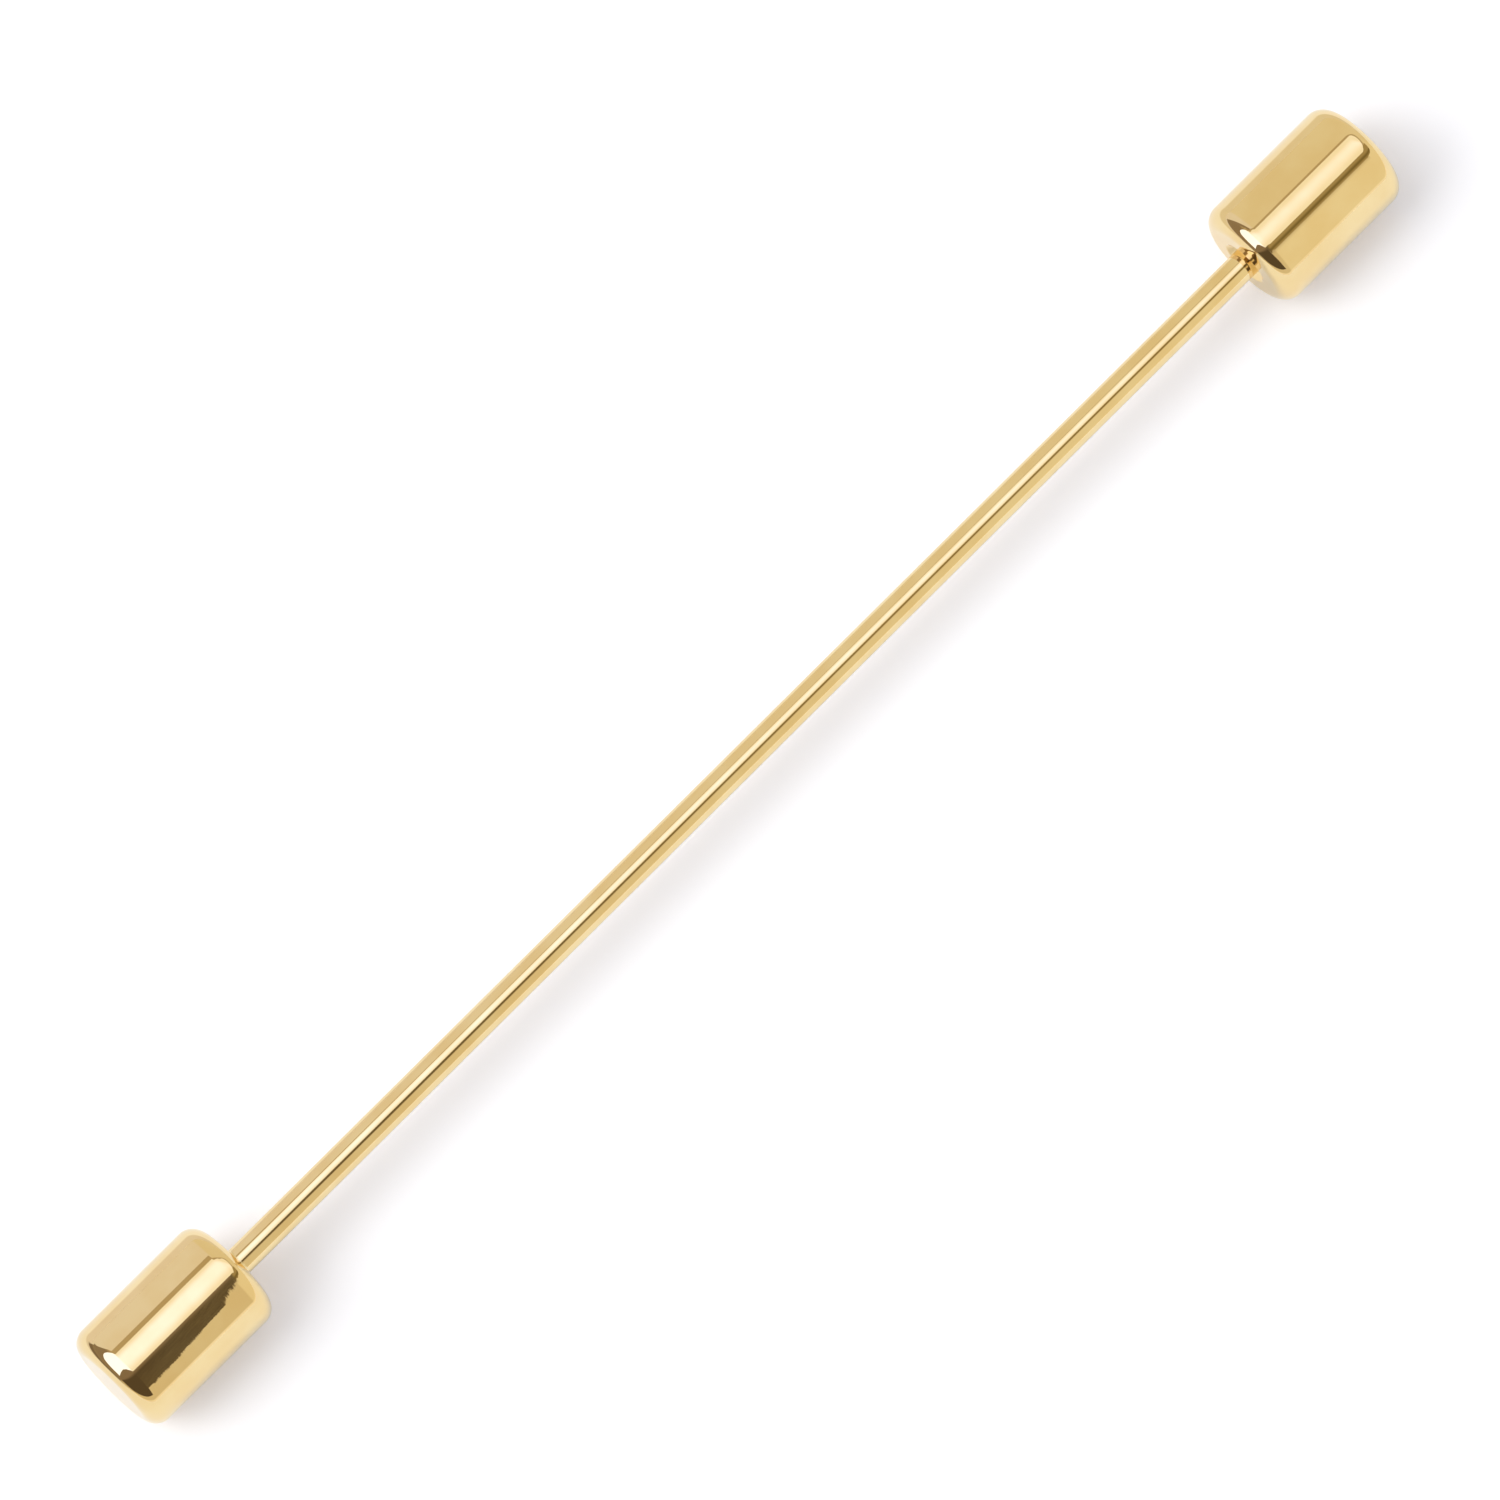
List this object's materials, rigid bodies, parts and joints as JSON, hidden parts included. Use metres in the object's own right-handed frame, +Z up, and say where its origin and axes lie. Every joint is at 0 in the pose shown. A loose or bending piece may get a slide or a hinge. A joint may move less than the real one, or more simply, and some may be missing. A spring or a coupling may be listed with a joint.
{
  "type": "collar bar",
  "caption": "Straight collar bar with a barrel head at each end: one soldered on, one that screws off so the bar can pass through a shirt collar's eyelets.",
  "frame": {"origin": "under the middle of the bar, on the table that the two heads rest on", "axes": "+X along the bar, towards the head that screws off; +Z up from the table"},
  "size_m": [0.058, 0.004, 0.004],
  "materials": {
    "gold_plate": "polished gold plate on brass",
    "plated_solder": "solder under gold plate, slightly satin",
    "dark_rubber": "matt nitrile rubber"
  },
  "bodies": {
    "pin": {"bar": "gold_plate", "fixed_head": "gold_plate", "solder_seam": "plated_solder"},
    "ring": {"grip_ring": "dark_rubber"},
    "screw_end": {"screw_head": "gold_plate"}
  },
  "joints": [
    {"name": "head_travel", "type": "slide", "parent": "pin", "child": "ring", "axis": [1, 0, 0], "range_m": [0, 0.0035]},
    {"name": "head_turn", "type": "hinge", "parent": "ring", "child": "screw_end", "pos_m": [0.0234, 0, 0.002], "axis": [1, 0, 0], "range_deg": [0, 5040]}
  ],
  "couplings": [
    {"joint": "head_turn", "follows": "head_travel", "rad_per_m": 25133}
  ]
}
